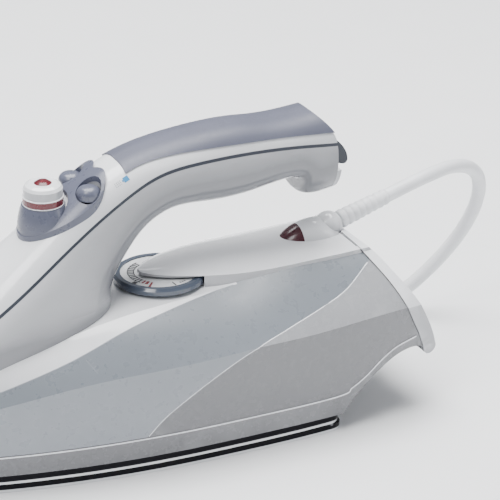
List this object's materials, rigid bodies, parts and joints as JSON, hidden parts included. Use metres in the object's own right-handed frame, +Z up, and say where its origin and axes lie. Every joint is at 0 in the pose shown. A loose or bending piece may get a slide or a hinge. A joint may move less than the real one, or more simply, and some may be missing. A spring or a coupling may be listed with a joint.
{
  "type": "clothes iron",
  "caption": "Steam iron with an open-ended handle, translucent water tank, temperature dial, steam regulator, two pump buttons and a mains lead, resting on its soleplate.",
  "frame": {"origin": "on the floor under the middle of the iron, on its centre line", "axes": "nose of the iron towards -X, heel towards +X, Y across, +Z up"},
  "size_m": [0.3463, 0.2325, 0.1542],
  "materials": {
    "polished_steel": "mirror polish",
    "cast_aluminium": "as cast",
    "steel": "zinc plated",
    "silicone": "satin",
    "fibre_sleeve": "woven glass sleeve",
    "inner_plastic": "satin",
    "slate_plastic": "gloss",
    "white_plastic": "gloss",
    "grey_plastic": "satin",
    "shield_plastic": "satin",
    "clear_plastic": "gloss",
    "soft_touch": "soft touch",
    "red_plastic": "gloss",
    "plum_lens": "gloss",
    "lamp_glass": "clear",
    "white_vinyl": "satin",
    "nickel": "nickel plated"
  },
  "bodies": {
    "iron": {"soleplate": "polished_steel", "sole_casting": "cast_aluminium", "heating_element": "steel", "chamber_cover": "steel", "sole_screws": "steel", "thermostat": "steel", "handle_screws": "steel", "lid_pin": "steel", "spray_spring": "steel", "steam_spring": "steel", "chamber_seal": "silicone", "valve_seat": "silicone", "thermal_fuse": "fibre_sleeve", "inner_leads": "fibre_sleeve", "spray_barrel": "inner_plastic", "steam_barrel": "inner_plastic", "pump_shelf": "inner_plastic", "terminal_block": "inner_plastic", "button_pad": "slate_plastic", "regulator_collar": "slate_plastic", "spray_nozzle": "slate_plastic", "front_housing": "white_plastic", "handle_cover": "white_plastic", "handle_end_cap": "white_plastic", "top_cover": "white_plastic", "heel_cover": "white_plastic", "cord_turret": "white_plastic", "body_skirt": "grey_plastic", "heat_shield": "shield_plastic", "water_tank": "clear_plastic", "soft_grip": "soft_touch", "handle_inlay": "soft_touch", "indicator_lens": "plum_lens", "indicator_lamp": "lamp_glass"},
    "temperature_dial": {"dial_rim": "slate_plastic", "dial_scale": "white_plastic", "thermostat_shaft": "inner_plastic"},
    "steam_regulator": {"regulator_cap": "white_plastic", "regulator_ring": "red_plastic", "regulator_insert": "red_plastic"},
    "steam_valve": {"valve_rod": "steel"},
    "spray_pump": {"spray_button": "slate_plastic", "spray_piston": "inner_plastic"},
    "steam_pump": {"steam_button": "slate_plastic", "steam_piston": "inner_plastic"},
    "filling_flap": {"filling_lid": "clear_plastic"},
    "cord_swivel": {"cord_ball": "white_plastic", "strain_relief": "white_vinyl", "power_cord": "white_vinyl", "cord_coil": "white_vinyl", "cord_tail": "white_vinyl", "cord_tie": "inner_plastic", "plug_body": "white_vinyl", "plug_pins": "nickel"}
  },
  "joints": [
    {"name": "dial_turn", "type": "hinge", "parent": "iron", "child": "temperature_dial", "pos_m": [0.0075, 0, 0.0796], "axis": [0, 0, 1], "range_deg": [0, 240]},
    {"name": "regulator_turn", "type": "hinge", "parent": "iron", "child": "steam_regulator", "pos_m": [-0.053, 0, 0.1313], "axis": [0, 0, 1], "range_deg": [0, 110]},
    {"name": "valve_lift", "type": "slide", "parent": "iron", "child": "steam_valve", "axis": [0, 0, 1], "range_m": [0, 0.0025]},
    {"name": "spray_press", "type": "slide", "parent": "iron", "child": "spray_pump", "axis": [0, 0, -1], "range_m": [0, 0.0035], "stiffness_N_per_m": 600, "springref_m": -0.0015, "deforming": ["spray_spring"]},
    {"name": "steam_press", "type": "slide", "parent": "iron", "child": "steam_pump", "axis": [0, 0, -1], "range_m": [0, 0.0035], "stiffness_N_per_m": 600, "springref_m": -0.0015, "deforming": ["steam_spring"]},
    {"name": "flap_open", "type": "hinge", "parent": "iron", "child": "filling_flap", "pos_m": [-0.0915, 0, 0.09498], "axis": [0, 1, 0], "range_deg": [0, 85]},
    {"name": "cord_swing", "type": "hinge", "parent": "iron", "child": "cord_swivel", "pos_m": [0.1005, 0, 0.0875], "axis": [0, 0, 1], "range_deg": [-15, 15]}
  ],
  "couplings": [
    {"joint": "valve_lift", "follows": "regulator_turn", "m_per_rad": 0.001301}
  ]
}
